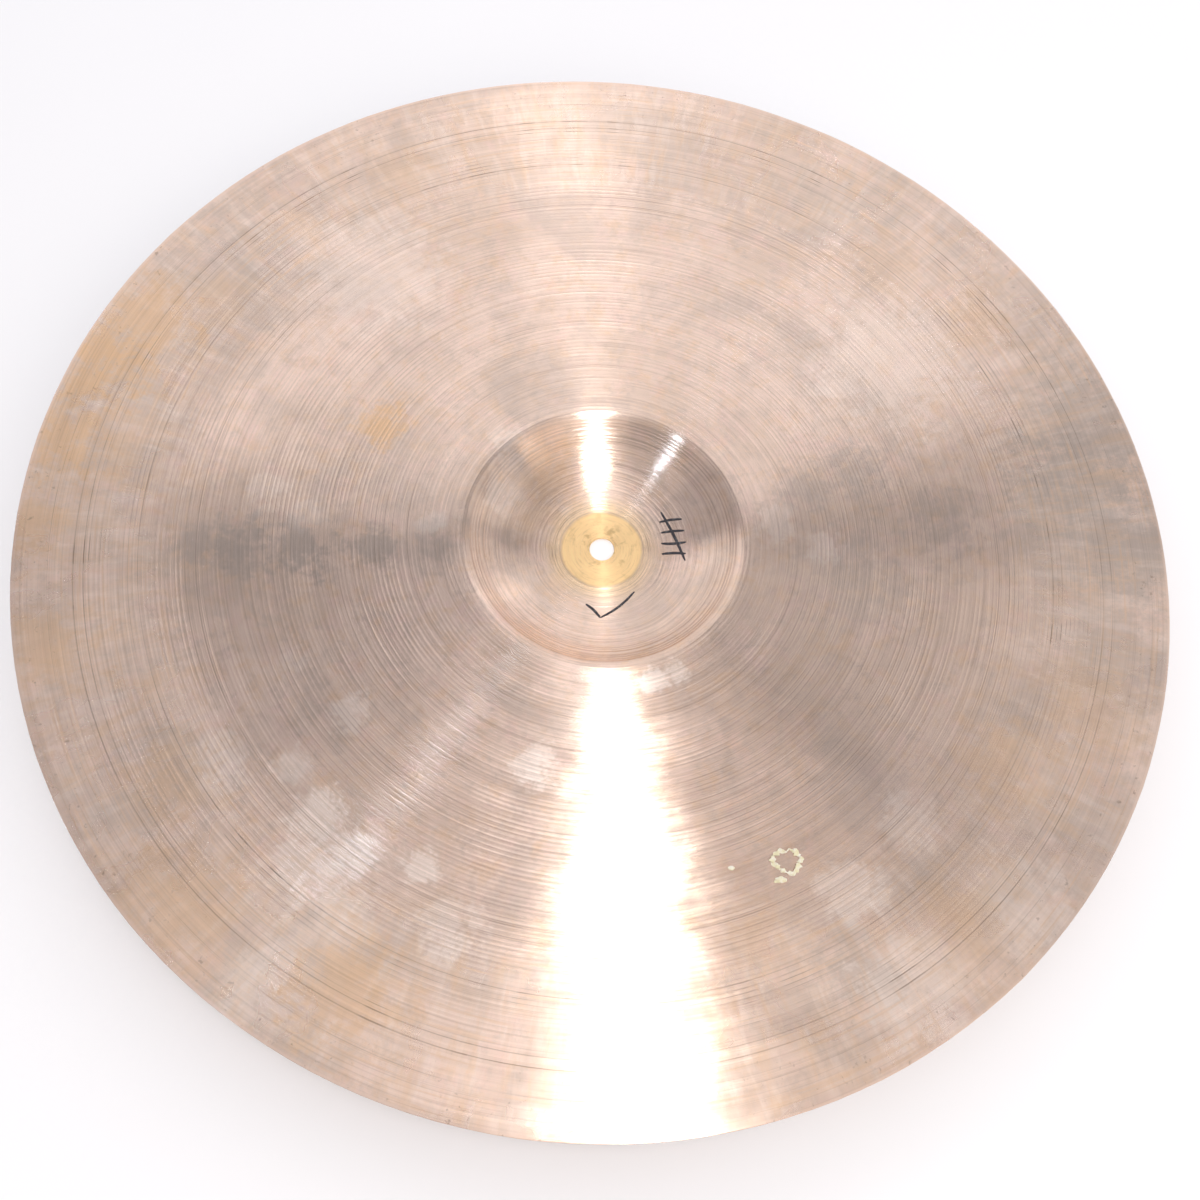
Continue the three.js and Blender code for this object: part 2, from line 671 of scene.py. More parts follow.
class Graph:
    """Adds nodes to one node tree and wires them. A value may be a socket or a plain number."""

    def __init__(self, tree):
        self.tree = tree
        self.count = 0

    def add(self, kind, **settings):
        node = self.tree.nodes.new(kind)
        node.location = (180 * (self.count % 12), -220 * (self.count // 12))
        self.count += 1
        for name, value in settings.items():
            setattr(node, name, value)
        return node

    def feed(self, socket, value):
        if value is None:
            return
        if isinstance(value, bpy.types.NodeSocket):
            self.tree.links.new(value, socket)
        elif socket.type == "RGBA" and len(value) == 3:
            socket.default_value = (*value, 1)
        else:
            socket.default_value = value

    def math(self, operation, first, second=None, third=None):
        node = self.add("ShaderNodeMath", operation=operation)
        for socket, value in zip(node.inputs, (first, second, third)):
            self.feed(socket, value)
        return node.outputs[0]

    def product(self, *values):
        result = values[0]
        for value in values[1:]:
            result = self.math("MULTIPLY", result, value)
        return result

    def vector(self, operation, first, second=None, scale=None):
        node = self.add("ShaderNodeVectorMath", operation=operation)
        self.feed(node.inputs[0], first)
        self.feed(node.inputs[1], second)
        self.feed(node.inputs[3], scale)
        scalar = operation in ("LENGTH", "DISTANCE", "DOT_PRODUCT")
        return node.outputs["Value" if scalar else "Vector"]

    def noise(self, vector, scale=1, detail=2, roughness=0.5, distortion=0):
        node = self.add("ShaderNodeTexNoise")
        self.feed(node.inputs["Vector"], vector)
        self.feed(node.inputs["Scale"], scale)
        self.feed(node.inputs["Detail"], detail)
        self.feed(node.inputs["Roughness"], roughness)
        self.feed(node.inputs["Distortion"], distortion)
        return node.outputs["Fac"]

    def smooth(self, value, low, high):
        """0 below low and 1 above high, or the other way round where high is the smaller."""
        node = self.add("ShaderNodeMapRange", interpolation_type="SMOOTHSTEP")
        self.feed(node.inputs["Value"], value)
        rising = isinstance(low, bpy.types.NodeSocket) or low < high
        self.feed(node.inputs["From Min"], low if rising else high)
        self.feed(node.inputs["From Max"], high if rising else low)
        self.feed(node.inputs["To Min"], 0 if rising else 1)
        self.feed(node.inputs["To Max"], 1 if rising else 0)
        return node.outputs["Result"]

    def spread(self, value, low, high):
        """The value, from 0 to 1, stretched to run from low to high."""
        node = self.add("ShaderNodeMapRange", clamp=True)
        self.feed(node.inputs["Value"], value)
        self.feed(node.inputs["To Min"], low)
        self.feed(node.inputs["To Max"], high)
        return node.outputs["Result"]

    def colour(self, share, first, second, blend="MIX"):
        node = self.add("ShaderNodeMix", data_type="RGBA", blend_type=blend)
        self.feed(node.inputs["Factor"], share)
        colours = [socket for socket in node.inputs if socket.type == "RGBA"]
        self.feed(colours[0], first)
        self.feed(colours[1], second)
        return next(socket for socket in node.outputs if socket.type == "RGBA")

    def flat(self, position):
        return self.vector("MULTIPLY", position, (1, 1, 0))

    def polar(self, position):
        """The distance from the cymbal's axis, and the direction away from it."""
        flat = self.flat(position)
        return self.vector("LENGTH", flat), self.vector("NORMALIZE", flat)

    def ring_space(self, position, along, across):
        """Coordinates whose noise runs in rings: cells per radian round, cells per metre out."""
        radius, outward = self.polar(position)
        round_part = self.vector("SCALE", outward, scale=along)
        join = self.add("ShaderNodeCombineXYZ")
        self.feed(join.inputs["Z"], self.math("MULTIPLY", radius, across))
        return self.vector("ADD", round_part, join.outputs[0])

    def attribute(self, name):
        return self.add("ShaderNodeAttribute", attribute_name=name).outputs["Fac"]


def new_group(name, output, **inputs):
    """A node group that turns a position and some numbers into one mask.

    Input names have underscores for spaces. The mask is a noise level, which the group cuts off
    softly at its Threshold.
    """
    tree = bpy.data.node_groups.new(name, "ShaderNodeTree")
    tree.interface.new_socket("Position", in_out="INPUT", socket_type="NodeSocketVector")
    for key, default in inputs.items():
        label = key.replace("_", " ")
        socket = tree.interface.new_socket(label, in_out="INPUT", socket_type="NodeSocketFloat")
        socket.default_value = default
    tree.interface.new_socket(output, in_out="OUTPUT", socket_type="NodeSocketFloat")
    graph = Graph(tree)
    return graph, graph.add("NodeGroupInput").outputs


def finish_group(graph, inside, level):
    """Cuts the level off at the group's threshold and puts it out."""
    low = graph.math("SUBTRACT", inside["Threshold"], inside["Softness"])
    high = graph.math("ADD", inside["Threshold"], inside["Softness"])
    outside = graph.add("NodeGroupOutput").inputs
    graph.feed(outside[0], graph.smooth(level, low, high))
    return graph.tree


def ring_streaks_group(name):
    """Broken streaks along the lathe's rings, from fine scratches to wide bands."""
    graph, inside = new_group(
        name, "Streaks", Rings_per_metre=450, Breaks_per_radian=2, Threshold=0.5, Softness=0.1
    )
    rings = graph.ring_space(
        inside["Position"], inside["Breaks per radian"], inside["Rings per metre"]
    )
    return finish_group(graph, inside, graph.noise(rings, detail=2.5, roughness=0.6))


def clouds_group(name):
    """Soft-edged patches of stain."""
    graph, inside = new_group(
        name, "Patches", Patch_size=0.05, Threshold=0.5, Softness=0.08, Offset=0
    )
    place = graph.vector("ADD", inside["Position"], inside["Offset"])
    scale = graph.math("DIVIDE", 1, inside["Patch size"])
    level = graph.noise(place, scale=scale, detail=4, roughness=0.58, distortion=0.35)
    return finish_group(graph, inside, level)


def use_group(graph, name, maker, *values):
    """Places a shared group, made when it is first used, and returns its mask."""
    tree = bpy.data.node_groups.get(name) or maker(name)
    node = graph.add("ShaderNodeGroup", node_tree=tree)
    for socket, value in zip(node.inputs, values, strict=True):
        graph.feed(socket, value)
    return node.outputs[0]


def streaks(graph, position, rings, breaks, threshold, softness):
    values = (position, rings, breaks, threshold, softness)
    return use_group(graph, "Ring streaks", ring_streaks_group, *values)


def clouds(graph, position, size, threshold, softness, offset):
    values = (position, size, threshold, softness, offset)
    return use_group(graph, "Stain clouds", clouds_group, *values)


def zone(graph, radius, dish, shares):
    """0 at the first of two shares of the rim's radius, changing smoothly to 1 at the second."""
    start, end = shares
    return graph.smooth(radius, start * dish.rim, end * dish.rim)


def new_material(name):
    """A material with one Principled shader, its graph and the object's own coordinates."""
    material = bpy.data.materials.new(name)
    material.use_nodes = True
    graph = Graph(material.node_tree)
    material.node_tree.nodes.clear()
    shader = graph.add("ShaderNodeBsdfPrincipled")
    output = graph.add("ShaderNodeOutputMaterial")
    graph.feed(output.inputs["Surface"], shader.outputs["BSDF"])
    position = graph.add("ShaderNodeTexCoord").outputs["Object"]
    return material, graph, shader, position


# ---- Bronze ----


# Placed spots of stain, of painted shade and of painted highlight: bearing in degrees, share of the
# rim's radius, size in millimetres, strength.
GOLD_STAINS = (
    (128, 0.17, 20, 0.5), (150, 0.13, 16, 0.4), (215, 0.11, 12, 0.4),
    (152.5, 0.45, 13, 1.0), (154, 0.93, 26, 0.8), (161, 0.96, 30, 1.0),
    (171, 0.96, 26, 0.9), (170, 0.87, 20, 0.5), (181, 0.98, 20, 0.7),
    (148, 0.84, 18, 0.4), (195, 0.95, 22, 0.6), (213, 0.84, 20, 0.55),
    (224, 0.93, 30, 0.55), (242, 0.88, 26, 0.7), (286, 0.74, 16, 0.4),
    (308, 0.88, 24, 0.5), (326, 0.78, 24, 0.5), (336, 0.88, 26, 0.45),
    (31, 0.86, 22, 0.5), (45, 0.80, 20, 0.35), (117, 0.86, 20, 0.35),
)
# Pale stains, and a painted highlight: the rows at bearings 173 to 177 paint the bright side of the
# painted shade at bearing 183.
BLOOM_AND_HIGHLIGHT_SPOTS = (
    (132, 0.232, 15, 0.65), (152, 0.20, 13, 0.5), (253, 0.445, 12, 1.0),
    (286, 0.29, 8, 1.0), (294, 0.285, 7, 0.8), (218, 0.55, 11, 0.55),
    (231, 0.77, 20, 0.7), (214, 0.77, 18, 0.5), (227, 0.70, 14, 0.9),
    (234, 0.71, 13, 0.9), (243, 0.675, 10, 0.9), (205, 0.59, 9, 0.3),
    (249, 0.74, 15, 0.6), (238, 0.80, 16, 0.5), (220, 0.68, 10, 0.6),
    (300, 0.75, 18, 0.6), (312, 0.72, 16, 0.45), (300, 0.91, 30, 0.6),
    (313, 0.93, 28, 0.5), (236, 0.92, 26, 0.4), (4, 0.32, 13, 0.4),
    (356, 0.40, 11, 0.5), (176, 0.31, 8, 0.4), (177, 0.53, 10, 0.3),
    (173, 0.60, 12, 0.35), (33, 0.66, 50, 0.4), (128, 0.70, 44, 0.35),
)
# Grey stains, and painted shade: the rows at bearings 172 to 185 and from 344 round to 30 paint the
# darker reflection where the bow's dim half towards −Y meets its bright half towards +Y.
SMOKE_AND_SHADE_SPOTS = (
    (184, 0.30, 10, 0.8), (185, 0.41, 13, 0.9), (184, 0.53, 15, 1.0),
    (183, 0.64, 15, 1.0), (183, 0.71, 12, 0.8), (172, 0.50, 12, 0.5),
    (6, 0.88, 36, 1.0), (14, 0.96, 38, 0.8), (30, 0.96, 34, 0.5),
    (357, 0.95, 36, 0.9), (344, 0.93, 36, 0.6), (142, 0.90, 34, 0.55),
    (150, 0.80, 24, 0.45), (14, 0.50, 18, 0.8), (13, 0.38, 13, 0.7),
    (2, 0.62, 20, 0.6), (296, 0.86, 20, 0.8), (305, 0.80, 22, 0.4),
    (345, 0.46, 30, 0.5),
)
# The spots of painted shade and highlight fade out the same way.
STAIN_EDGE = 0.75  # how far out a stain is half gone, in its own sizes

# Zones of the bow, from one share of the rim's radius to another
GOLD_ZONE = (0.68, 0.80)
DULL_ZONE = (0.62, 0.86)
SPECKLED_ZONE = (0.86, 0.99)
LEVEL_ZONE = (0.70, 0.76)
SKIPS_START = (0.74, 0.80)
SKIPS_END = (0.925, 0.90)

PATINA_COVER = 0.55  # how much of the metal the thickest patina hides
COVERED_METALLIC = 0.42
CLEAN_ROUGHNESS = 0.235
DULL_ROUGHNESS = 0.30
SEAT_ROUGHNESS = 0.70


def place_at(bearing, out):
    """The place at a bearing in degrees and a distance from the axis."""
    turn = math.radians(bearing)
    return out * math.cos(turn), out * math.sin(turn), 0


def placed_spots(graph, position, stains, rim, raggedness=2.4, softness=0.6):
    """The strongest of the placed spots at each point, with ragged edges: stains, and in some
    tables painted shade and highlight.
    """
    level = graph.noise(position, scale=95, detail=6, roughness=0.75)
    ragged = graph.spread(level, raggedness, -raggedness)
    flat = graph.flat(position)
    result = 0
    for bearing, share, size, strength in stains:
        away = graph.vector("DISTANCE", flat, place_at(bearing, share * rim))
        reach = graph.math("ADD", graph.math("DIVIDE", away, size * MM), ragged)
        spot = graph.smooth(reach, STAIN_EDGE + softness, STAIN_EDGE - softness)
        result = graph.math("MAXIMUM", result, graph.product(spot, strength))
    return result


def drips(graph, position, threshold, offset, softness=0.12):
    """Stains that have crept outward and inward across the rings, in narrow ragged streaks."""
    rings = graph.ring_space(position, along=42, across=38)
    moved = graph.vector("ADD", rings, (offset, offset, offset))
    level = graph.noise(moved, detail=4, roughness=0.62, distortion=0.4)
    return graph.smooth(level, threshold - softness, threshold + softness)


def mottled(graph, position, colour, finish):
    """Small uneven patches, each a little pinker, more golden or greyer than the metal."""
    tints = ((finish.blush, 70, 0.0), (finish.gold, 95, 2.3), (finish.smoke_and_shade, 120, 5.1))
    for tint, scale, offset in tints:
        moved = graph.vector("ADD", position, (offset, offset, offset))
        level = graph.noise(moved, scale=scale, detail=6, roughness=0.72, distortion=0.3)
        colour = graph.colour(graph.product(graph.smooth(level, 0.46, 0.72), 0.42), colour, tint)
    return colour


def turned_colour(graph, position, finish, dish):
    """The bronze's colour under its films and stains, with painted shade and a painted highlight
    where the bow's dim half towards −Y meets its bright half towards +Y, before the grooves' dirt.
    """
    cloudy = clouds(graph, position, size=0.070, threshold=0.52, softness=0.13, offset=0.0)
    colour = graph.colour(graph.product(cloudy, 0.55), finish.bronze, finish.tarnish)
    colour = mottled(graph, position, colour, finish)
    smoky = clouds(graph, position, size=0.045, threshold=0.56, softness=0.10, offset=0.31)
    colour = graph.colour(graph.product(smoky, 0.45), colour, finish.smoke_and_shade)
    # Grey stains, and painted shade where the bow's dim half meets its bright half.
    smoke_and_shade = placed_spots(graph, position, SMOKE_AND_SHADE_SPOTS, dish.rim)
    colour = graph.colour(graph.product(smoke_and_shade, 0.88), colour, finish.smoke_and_shade)
    # Pale stains, and a painted highlight beside the painted shade at bearing 183.
    pale = placed_spots(graph, position, BLOOM_AND_HIGHLIGHT_SPOTS, dish.rim, raggedness=1.5, softness=0.35)
    colour = graph.colour(graph.product(pale, 0.66), colour, finish.bloom_and_highlight)
    radius, _ = graph.polar(position)
    in_bell = graph.smooth(radius, dish.bell, 0.93 * dish.bell)
    patches = clouds(graph, position, size=0.03, threshold=0.5, softness=0.15, offset=0.21)
    warmth = graph.product(in_bell, graph.spread(patches, 0.0, 0.09))
    return graph.colour(warmth, colour, finish.gold)


def golden(graph, position, colour, finish, dish):
    """Golden patina: creeping streaks towards the rim, placed stains and thin broken rings."""
    radius, _ = graph.polar(position)
    outer = zone(graph, radius, dish, GOLD_ZONE)
    grey = graph.product(drips(graph, position, threshold=0.56, offset=3.1), outer, 0.17)
    colour = graph.colour(grey, colour, finish.smoke_and_shade)
    pale = graph.product(drips(graph, position, threshold=0.58, offset=6.7), outer, 0.18)
    colour = graph.colour(pale, colour, finish.bloom_and_highlight)
    creeping = graph.product(drips(graph, position, threshold=0.60, offset=0), outer, 0.36)
    mottle = graph.noise(position, scale=160, detail=3, roughness=0.7)
    placed = placed_spots(graph, position, GOLD_STAINS, dish.rim)
    placed = graph.product(placed, graph.spread(mottle, 0.65, 1.15))
    gold_rings = streaks(graph, position, rings=470, breaks=5, threshold=0.62, softness=0.05)
    in_rings = graph.product(gold_rings, graph.spread(outer, 0.10, 0.35))
    share = graph.math("MAXIMUM", graph.math("MAXIMUM", creeping, placed), in_rings)
    return graph.colour(share, colour, finish.gold)


def seat_disc(graph, position, colour, finish, dish):
    """The unturned disc round the hole: golden, with greenish-brown spots."""
    radius, _ = graph.polar(position)
    wobble = graph.noise(position, scale=60, detail=3)
    edge = graph.math("ADD", radius, graph.spread(wobble, -MM, MM))
    disc = graph.smooth(edge, dish.seat + 2 * MM, dish.seat - 0.6 * MM)
    halo = graph.product(graph.smooth(edge, dish.seat + 13 * MM, dish.seat), 0.45)
    speckle = clouds(graph, position, size=0.0065, threshold=0.60, softness=0.08, offset=0.12)
    near_hole = graph.smooth(radius, 0.85 * dish.seat, 0.45 * dish.seat)
    spots = graph.product(speckle, graph.spread(near_hole, 0.35, 0.9))
    gold = graph.colour(spots, finish.seat_gold, finish.seat_spots)
    return graph.colour(graph.math("MAXIMUM", disc, halo), colour, gold), disc


def skipped_patches(graph, position, dish):
    """Where the tool rode over a hammer mark, so that the grooves kept their old dark skin."""
    radius, _ = graph.polar(position)
    apart = graph.add("ShaderNodeSeparateXYZ")
    graph.feed(apart.inputs[0], position)
    bearing = graph.math("ARCTAN2", apart.outputs["Y"], apart.outputs["X"])
    jitter = graph.noise(graph.ring_space(position, along=24, across=470), detail=1)
    drift = graph.noise(position, scale=16, detail=2)
    turns = graph.math("ADD", graph.product(bearing, 47), graph.spread(drift, -7, 7))
    wave = graph.math("ADD", graph.math("COSINE", turns), graph.spread(jitter, -0.9, 0.9))
    present = graph.noise(graph.ring_space(position, along=3.2, across=24), detail=2)
    rises = zone(graph, radius, dish, SKIPS_START)
    falls = zone(graph, radius, dish, SKIPS_END)
    return graph.product(
        graph.smooth(wave, -0.1, 0.8), graph.smooth(present, 0.44, 0.60), rises, falls
    )


def groove_dirt(graph, position, colour, finish, dish):
    """Dirt in the grooves, thickest where the tool skipped."""
    groove_mask = graph.product(graph.smooth(graph.attribute("groove"), 0.03, 0.28), 0.85)
    patchy = clouds(graph, position, size=0.030, threshold=0.47, softness=0.16, offset=0.45)
    broken = graph.noise(graph.ring_space(position, along=3.5, across=480), detail=3, roughness=0.7)
    usual = graph.product(graph.spread(patchy, 0.18, 0.68), graph.spread(broken, 0.0, 1.5))
    deep = graph.smooth(graph.attribute("groove"), 0.30, 0.45)
    deep = graph.product(deep, graph.spread(broken, -0.3, 1.5))
    usual = graph.math("MAXIMUM", usual, deep)
    skipped = skipped_patches(graph, position, dish)
    in_groove = graph.product(groove_mask, graph.math("MAXIMUM", usual, skipped))
    fine = streaks(graph, position, rings=1300, breaks=2, threshold=0.60, softness=0.08)
    fine = graph.product(fine, 0.18)
    share = graph.math("MAXIMUM", in_groove, fine)
    return graph.colour(graph.product(share, 0.85), colour, finish.groove_dirt)


def ring_tint(graph, position, colour):
    """Each ring of the lathe's tool reflects a little more or less than its neighbours."""
    level = graph.noise(graph.ring_space(position, along=0.8, across=480), detail=3, roughness=0.7)
    tint = graph.spread(level, 0.84, 1.16)
    grey = graph.add("ShaderNodeCombineColor")
    for socket in grey.inputs:
        graph.feed(socket, tint)
    return graph.colour(1.0, colour, grey.outputs[0], blend="MULTIPLY")


def rim_wear(graph, position, colour, finish, dish):
    """Bright metal where handling has rubbed the rim, with dark specks beside it."""
    radius, _ = graph.polar(position)
    rubbed = graph.product(graph.smooth(radius, dish.rim - 1.6 * MM, dish.rim), 0.7)
    colour = graph.colour(rubbed, colour, finish.bronze)
    specks = clouds(graph, position, size=0.0030, threshold=0.68, softness=0.05, offset=0.9)
    near_rim = zone(graph, radius, dish, SPECKLED_ZONE)
    return graph.colour(graph.product(specks, near_rim, 0.45), colour, finish.groove_dirt)


def outward_tilt(graph, position, dish, lean, bite_lean):
    """How far the lathe's ridges lean the surface away from the axis, ring by ring, in radians."""
    radius, _ = graph.polar(position)
    on_bow = graph.smooth(radius, dish.bell - MM, dish.bell + 3 * MM)
    outer = zone(graph, radius, dish, LEVEL_ZONE)
    steady = graph.product(on_bow, graph.spread(outer, lean, 0.35 * lean))
    firm = clouds(graph, position, size=0.045, threshold=0.47, softness=0.15, offset=0.52)
    firmness = graph.spread(firm, 0.45 * bite_lean, bite_lean)
    walls = graph.product(graph.attribute("bite"), firmness)
    walls = graph.product(walls, graph.spread(on_bow, 1.4, 1))
    lines = graph.noise(graph.ring_space(position, along=0.7, across=1100), detail=2, roughness=0.7)
    broken = graph.noise(graph.ring_space(position, along=4, across=600), detail=2, roughness=0.6)
    lines = graph.spread(lines, -0.16, 0.16)
    wander = graph.math("ADD", lines, graph.spread(broken, -0.07, 0.07))
    seat = graph.smooth(radius, dish.seat, dish.seat + 2 * MM)
    total = graph.math("ADD", graph.math("ADD", steady, wander), walls)
    return graph.product(total, seat)


def sideways_tilt(graph, position):
    """How far hammering leans the surface round the axis, in radians: wavy, and a little ringed."""
    wavy = graph.noise(position, scale=42, detail=3, roughness=0.6)
    ringed = graph.noise(graph.ring_space(position, along=2.5, across=470), detail=1)
    wavy = graph.spread(wavy, -0.026, 0.026)
    return graph.math("ADD", wavy, graph.spread(ringed, -0.009, 0.009))


def leaning_normal(graph, position, outward_lean, sideways_lean):
    """The surface's normal, leaned away from the cymbal's axis and round it."""
    _, outward = graph.polar(position)
    round_axis = graph.vector("CROSS_PRODUCT", (0, 0, 1), outward)
    normal = graph.add("ShaderNodeNewGeometry").outputs["Normal"]
    leaned = graph.vector("ADD", normal, graph.vector("SCALE", outward, scale=outward_lean))
    leaned = graph.vector("ADD", leaned, graph.vector("SCALE", round_axis, scale=sideways_lean))
    return graph.vector("NORMALIZE", leaned)


def patina(graph, position, dish):
    """How thickly the outer part of the bow is covered by a dull patina, from 0 to 1."""
    radius, _ = graph.polar(position)
    outer = zone(graph, radius, dish, DULL_ZONE)
    patchy = clouds(graph, position, size=0.05, threshold=0.5, softness=0.15, offset=1.1)
    return graph.product(outer, graph.spread(patchy, 0.5, 1))


def bronze_material(name, finish, dish, lean, bite_lean, mirror):
    """Turned bronze: reflections spread across the rings, fine ridges and an old patina.

    The mirror's signs turn the stains and the painted shade and highlight, so that the two faces
    don't share theirs.
    """
    material, graph, shader, position = new_material(name)
    stain_and_shade_place = graph.vector("MULTIPLY", position, mirror)
    colour = turned_colour(graph, stain_and_shade_place, finish, dish)
    colour = golden(graph, stain_and_shade_place, colour, finish, dish)
    colour, disc = seat_disc(graph, stain_and_shade_place, colour, finish, dish)
    colour = ring_tint(graph, position, colour)
    colour = groove_dirt(graph, position, colour, finish, dish)
    colour = rim_wear(graph, position, colour, finish, dish)
    graph.feed(shader.inputs["Base Color"], colour)
    dull = patina(graph, position, dish)
    covered = graph.math("MAXIMUM", graph.product(dull, PATINA_COVER), disc)
    graph.feed(shader.inputs["Metallic"], graph.spread(covered, 1, COVERED_METALLIC))
    shader.inputs["Anisotropic"].default_value = 1
    _, outward = graph.polar(position)
    graph.feed(shader.inputs["Tangent"], outward)
    rough = graph.add("ShaderNodeMix", data_type="FLOAT")
    graph.feed(rough.inputs["Factor"], disc)
    graph.feed(rough.inputs["A"], graph.spread(dull, CLEAN_ROUGHNESS, DULL_ROUGHNESS))
    graph.feed(rough.inputs["B"], SEAT_ROUGHNESS)
    graph.feed(shader.inputs["Roughness"], rough.outputs["Result"])
    out = outward_tilt(graph, position, dish, lean, bite_lean)
    side = sideways_tilt(graph, position)
    graph.feed(shader.inputs["Normal"], leaning_normal(graph, position, out, side))
    return material


# ---- Ink and glue ----

INK_FADE = 0.12  # how much paler the ink is where it is dry
CHALK = (0.80, 0.76, 0.66)


def ink_material(finish):
    """Dry marker ink: nearly black, thin enough that its edges and dry spots turn brown."""
    material, graph, shader, position = new_material("marker_ink")
    level = graph.noise(position, scale=900, detail=3)
    brown = tuple(INK_FADE + value for value in finish.ink)
    colour = graph.colour(graph.smooth(level, 0.5, 0.72), finish.ink, brown)
    graph.feed(shader.inputs["Base Color"], colour)
    graph.feed(shader.inputs["Roughness"], graph.spread(level, 0.35, 0.6))
    return material


def glue_material(finish):
    """Dry, yellowed residue with a chalky edge."""
    material, graph, shader, position = new_material("dry_glue")
    level = graph.noise(position, scale=420, detail=4)
    colour = graph.colour(graph.smooth(level, 0.4, 0.65), finish.glue, CHALK)
    graph.feed(shader.inputs["Base Color"], colour)
    graph.feed(shader.inputs["Roughness"], graph.spread(level, 0.45, 0.75))
    bump = graph.add("ShaderNodeBump")
    bump.inputs["Distance"].default_value = 0.1 * MM
    graph.feed(bump.inputs["Height"], level)
    graph.feed(shader.inputs["Normal"], bump.outputs["Normal"])
    return material


# ---- Pieces ----


# Of each face: its material, how far the lathe's ridges and its grooves lean the reflections, in
# radians, and the signs that turn its stains and its painted shade and highlight.
BRONZES = (
    ("hollow_bronze", 0.17, 0.20, (1, 1, 1)),
    ("outer_bronze", 0.05, 0.12, (-1, 1, -1)),
)


def current_dish(context):
    return Dish(context.scene.cymbal_shape)


class CYMBAL_OT_turn_sheet(bpy.types.Operator):
    """Spins the sheet from its cross-section, hammers it and gives it its bronze."""

    bl_idname = "cymbal.turn_sheet"
    bl_label = "Turn the Sheet"
    bl_options = {"REGISTER", "UNDO"}

    def execute(self, context):
        scene = context.scene
        dish = current_dish(context)
        lathing = scene.cymbal_lathing
        inner = hollow_cuts(dish, lathing)
        outer = outer_cuts(dish, lathing)
        outline = [dish.outer_face(cut.r, cut.depth) for cut in outer]
        outline += rim_nose(dish)
        outline += [dish.hollow_face(cut.r, cut.depth) for cut in reversed(inner)]
        outline += hole_wall(dish)
        sheet = new_outline("bronze_sheet", outline)
        spin_outline(sheet, scene.cymbal_shape.turn_steps)
        mesh = sheet.data
        store_lathe_marks(mesh, dish, inner, outer, lathing.deep_groove_depth)
        hammer(mesh, dish, scene.cymbal_hammering)
        wear_rim(mesh, dish)
        wear_hole(mesh, dish)
        shade(sheet)
        finish = scene.cymbal_finish
        for name, lean, bite_lean, mirror in BRONZES:
            mesh.materials.append(bronze_material(name, finish, dish, lean, bite_lean, mirror))
        for face in mesh.polygons:
            face.material_index = 0 if face.normal.z > 0 else 1
        join_body(sheet)
        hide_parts(CAD_NODE)
        return {"FINISHED"}


@dataclass
class Stroke:
    """One pen stroke inside the bell, from one place to another, with a bow to one side."""

    start: tuple
    end: tuple
    bow: float
    width: float


INK_LIFT = 0.02 * MM
INK_FILM = 0.07 * MM
# Places are X and Y in millimetres, as are the bow and the width.
INK_STROKES = (
    Stroke((31, -3), (43, -4), 0.5, 1.5),
    Stroke((31, 3), (43.5, 2.5), -0.4, 1.5),
    Stroke((31, 9), (43, 9), 0.4, 1.4),
    Stroke((30.5, 15), (42, 15.5), 0.5, 1.4),
    Stroke((31.5, 20.5), (42.5, -8), 0.8, 1.5),
    Stroke((-9, -31), (-2, -39), 0.6, 1.5),
    Stroke((-2, -39), (16, -24), -1.2, 1.3),
)


def stroke_outline(stroke, steps=14):
    """The stroke's two edges, point by point along it, tapering to both ends."""
    start = Vector(stroke.start) * MM
    end = Vector(stroke.end) * MM
    across = (end - start).orthogonal().normalized()
    edges = []
    for i in range(steps + 1):
        share = i / steps
        bulge = math.sin(math.pi * share)
        middle = start.lerp(end, share) + across * stroke.bow * MM * bulge
        half = 0.5 * stroke.width * MM * (0.45 + 0.55 * bulge**0.4)
        edges.append((middle - across * half, middle + across * half))
    return edges


def lay_on_hollow(dish, x, y, lift):
    """The point of the hollow face at X and Y, lifted a little off it."""
    r = math.hypot(x, y)
    near, far = dish.hollow_face(r - MM), dish.hollow_face(r + MM)
    height = near[1] + (far[1] - near[1]) * (r - near[0]) / (far[0] - near[0])
    return Vector((x, y, height + lift))


def pen_stroke(stroke, dish, index):
    """A thin film of ink: a grid laid along the stroke and given the film's thickness."""
    edges = stroke_outline(stroke)
    select_none()
    bpy.ops.mesh.primitive_grid_add(x_subdivisions=len(edges) - 1, y_subdivisions=1, size=1)
    piece = bpy.context.object
    piece.name = f"pen_stroke_{index}"
    order = sorted(piece.data.vertices, key=lambda vertex: (round(vertex.co.x, 6), vertex.co.y))
    for place, vertex in enumerate(order):
        point = edges[place // 2][place % 2]
        vertex.co = lay_on_hollow(dish, point.x, point.y, INK_LIFT)
    film = piece.modifiers.new("Film", "SOLIDIFY")
    film.thickness = INK_FILM
    film.offset = 1
    bpy.ops.object.modifier_apply(modifier=film.name)
    return piece


class CYMBAL_OT_mark_bell(bpy.types.Operator):
    """Draws a tick and a row of tally strokes in marker inside the bell."""

    bl_idname = "cymbal.mark_bell"
    bl_label = "Mark the Bell"
    bl_options = {"REGISTER", "UNDO"}

    def execute(self, context):
        dish = current_dish(context)
        pieces = [pen_stroke(stroke, dish, i) for i, stroke in enumerate(INK_STROKES)]
        ink = ink_material(context.scene.cymbal_finish)
        join_body(join_pieces("pen_marks", pieces, ink))
        return {"FINISHED"}


@dataclass
class Residue:
    """One bit of dried glue: its place on the bow, its sizes and its height."""

    bearing: float
    share: float
    across: float
    along: float
    height: float


